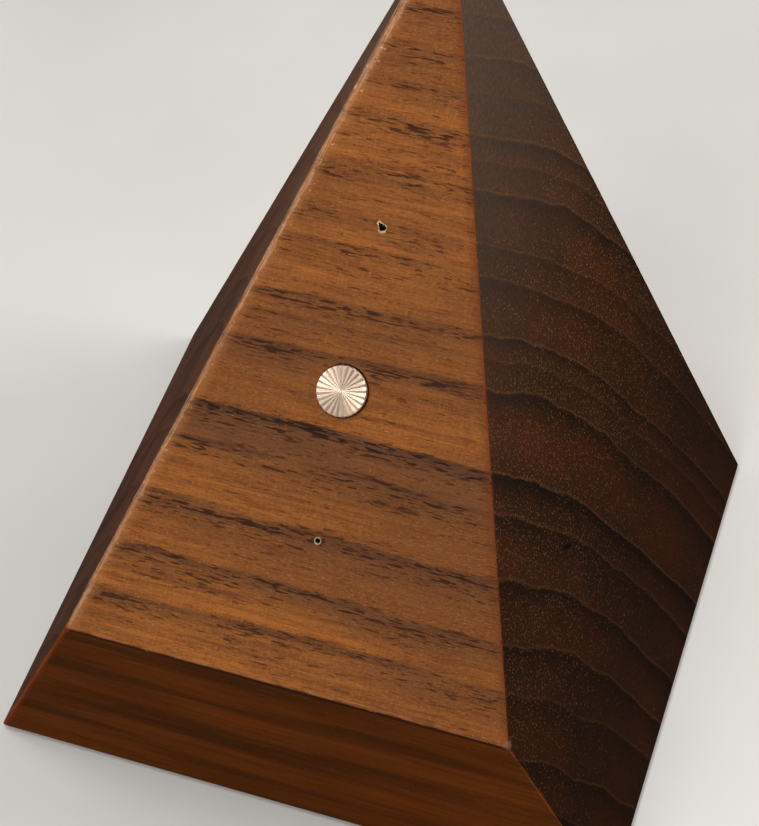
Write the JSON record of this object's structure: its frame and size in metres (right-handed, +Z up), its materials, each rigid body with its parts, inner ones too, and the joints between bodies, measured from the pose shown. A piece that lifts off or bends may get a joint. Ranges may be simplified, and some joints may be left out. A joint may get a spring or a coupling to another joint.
{
  "type": "desk metronome",
  "caption": "Walnut desk metronome shaped as a leaning-sided block: sloping front face with a fluted brass tempo knob between two lamp pinholes, electronics and speaker inside.",
  "frame": {"origin": "on the table, under the middle of the base", "axes": "+Z up to the apex, +X to the object's right as seen from its front, +Y to the rear; the sloping face looks towards -Y and up"},
  "size_m": [0.104, 0.088, 0.1162],
  "materials": {
    "walnut": "oiled walnut, hand sanded, end grain on the leaning sides",
    "black_plastic": "fine moulded texture",
    "steel_screw": "bright zinc",
    "brass_insert": "turned brass",
    "rubber": "matt rubber",
    "brass_disc": "pale champagne brass, radial flutes, fine scratches",
    "steel": "plain steel",
    "white_plastic": "natural nylon",
    "moulded_black": "moulded",
    "lamp": "milky lamp resin",
    "clear_acrylic": "clear",
    "cell_sleeve": "printed sleeve, no lettering",
    "nickel": "nickel plated",
    "speaker_cone": "film cone",
    "speaker_frame": "grey paint",
    "magnet": "plated magnet can",
    "circuit_board": "green solder mask",
    "lead_red": "PVC insulation",
    "lead_black": "PVC insulation"
  },
  "bodies": {
    "case": {"accent_led": "lamp", "accent_light_pipe": "clear_acrylic", "base_plate": "black_plastic", "base_screw_1": "steel_screw", "base_screw_2": "steel_screw", "base_screw_3": "steel_screw", "base_screw_4": "steel_screw", "battery_cell_1": "cell_sleeve", "battery_cell_2": "cell_sleeve", "battery_contact_1": "nickel", "battery_contact_2": "nickel", "battery_lead_1": "lead_red", "battery_lead_2": "lead_black", "battery_spring_1": "nickel", "battery_spring_2": "nickel", "battery_tray": "black_plastic", "beat_led": "lamp", "beat_light_pipe": "clear_acrylic", "board_connector": "white_plastic", "board_screw_1": "steel_screw", "board_screw_2": "steel_screw", "board_screw_3": "steel_screw", "board_screw_4": "steel_screw", "board_spacer_1": "white_plastic", "board_spacer_2": "white_plastic", "board_spacer_3": "white_plastic", "board_spacer_4": "white_plastic", "controller_chip": "moulded_black", "encoder_body": "moulded_black", "encoder_cover": "steel", "foot_1": "rubber", "foot_2": "rubber", "foot_3": "rubber", "foot_4": "rubber", "knob_bush": "brass_insert", "main_board": "circuit_board", "power_switch_body": "moulded_black", "quartz_crystal": "steel", "speaker_frame": "speaker_frame", "speaker_gasket": "rubber", "speaker_lead_1": "lead_red", "speaker_lead_2": "lead_black", "speaker_magnet": "magnet", "switch_dome": "nickel", "threaded_insert_1": "brass_insert", "threaded_insert_2": "brass_insert", "threaded_insert_3": "brass_insert", "threaded_insert_4": "brass_insert", "walnut_body": "walnut"},
    "press_stack": {"switch_plunger": "white_plastic"},
    "knob": {"tempo_knob": "brass_disc", "knob_stem": "steel", "encoder_rotor": "white_plastic"},
    "speaker_diaphragm": {"speaker_cone": "speaker_cone"},
    "battery_cover": {"battery_door": "black_plastic"},
    "power_slider": {"power_switch_slider": "white_plastic"}
  },
  "joints": [
    {"name": "knob_press", "type": "slide", "parent": "case", "child": "press_stack", "axis": [0, 0.6604, -0.7509], "range_m": [0, 0.0006], "stiffness_N_per_m": 2500},
    {"name": "knob_turn", "type": "hinge", "parent": "press_stack", "child": "knob", "pos_m": [-0.00055, -0.01044, 0.06832], "axis": [0, -0.6604, 0.7509], "continuous": true},
    {"name": "speaker_travel", "type": "slide", "parent": "case", "child": "speaker_diaphragm", "axis": [0, 0, 1], "range_m": [-0.0005, 0.0005], "stiffness_N_per_m": 600},
    {"name": "battery_door_hinge", "type": "hinge", "parent": "case", "child": "battery_cover", "pos_m": [0, 0.0284, 0.0024], "axis": [1, 0, 0], "range_deg": [0, 100]},
    {"name": "power_switch_slide", "type": "slide", "parent": "case", "child": "power_slider", "axis": [1, 0, 0], "range_m": [0, 0.003]}
  ]
}
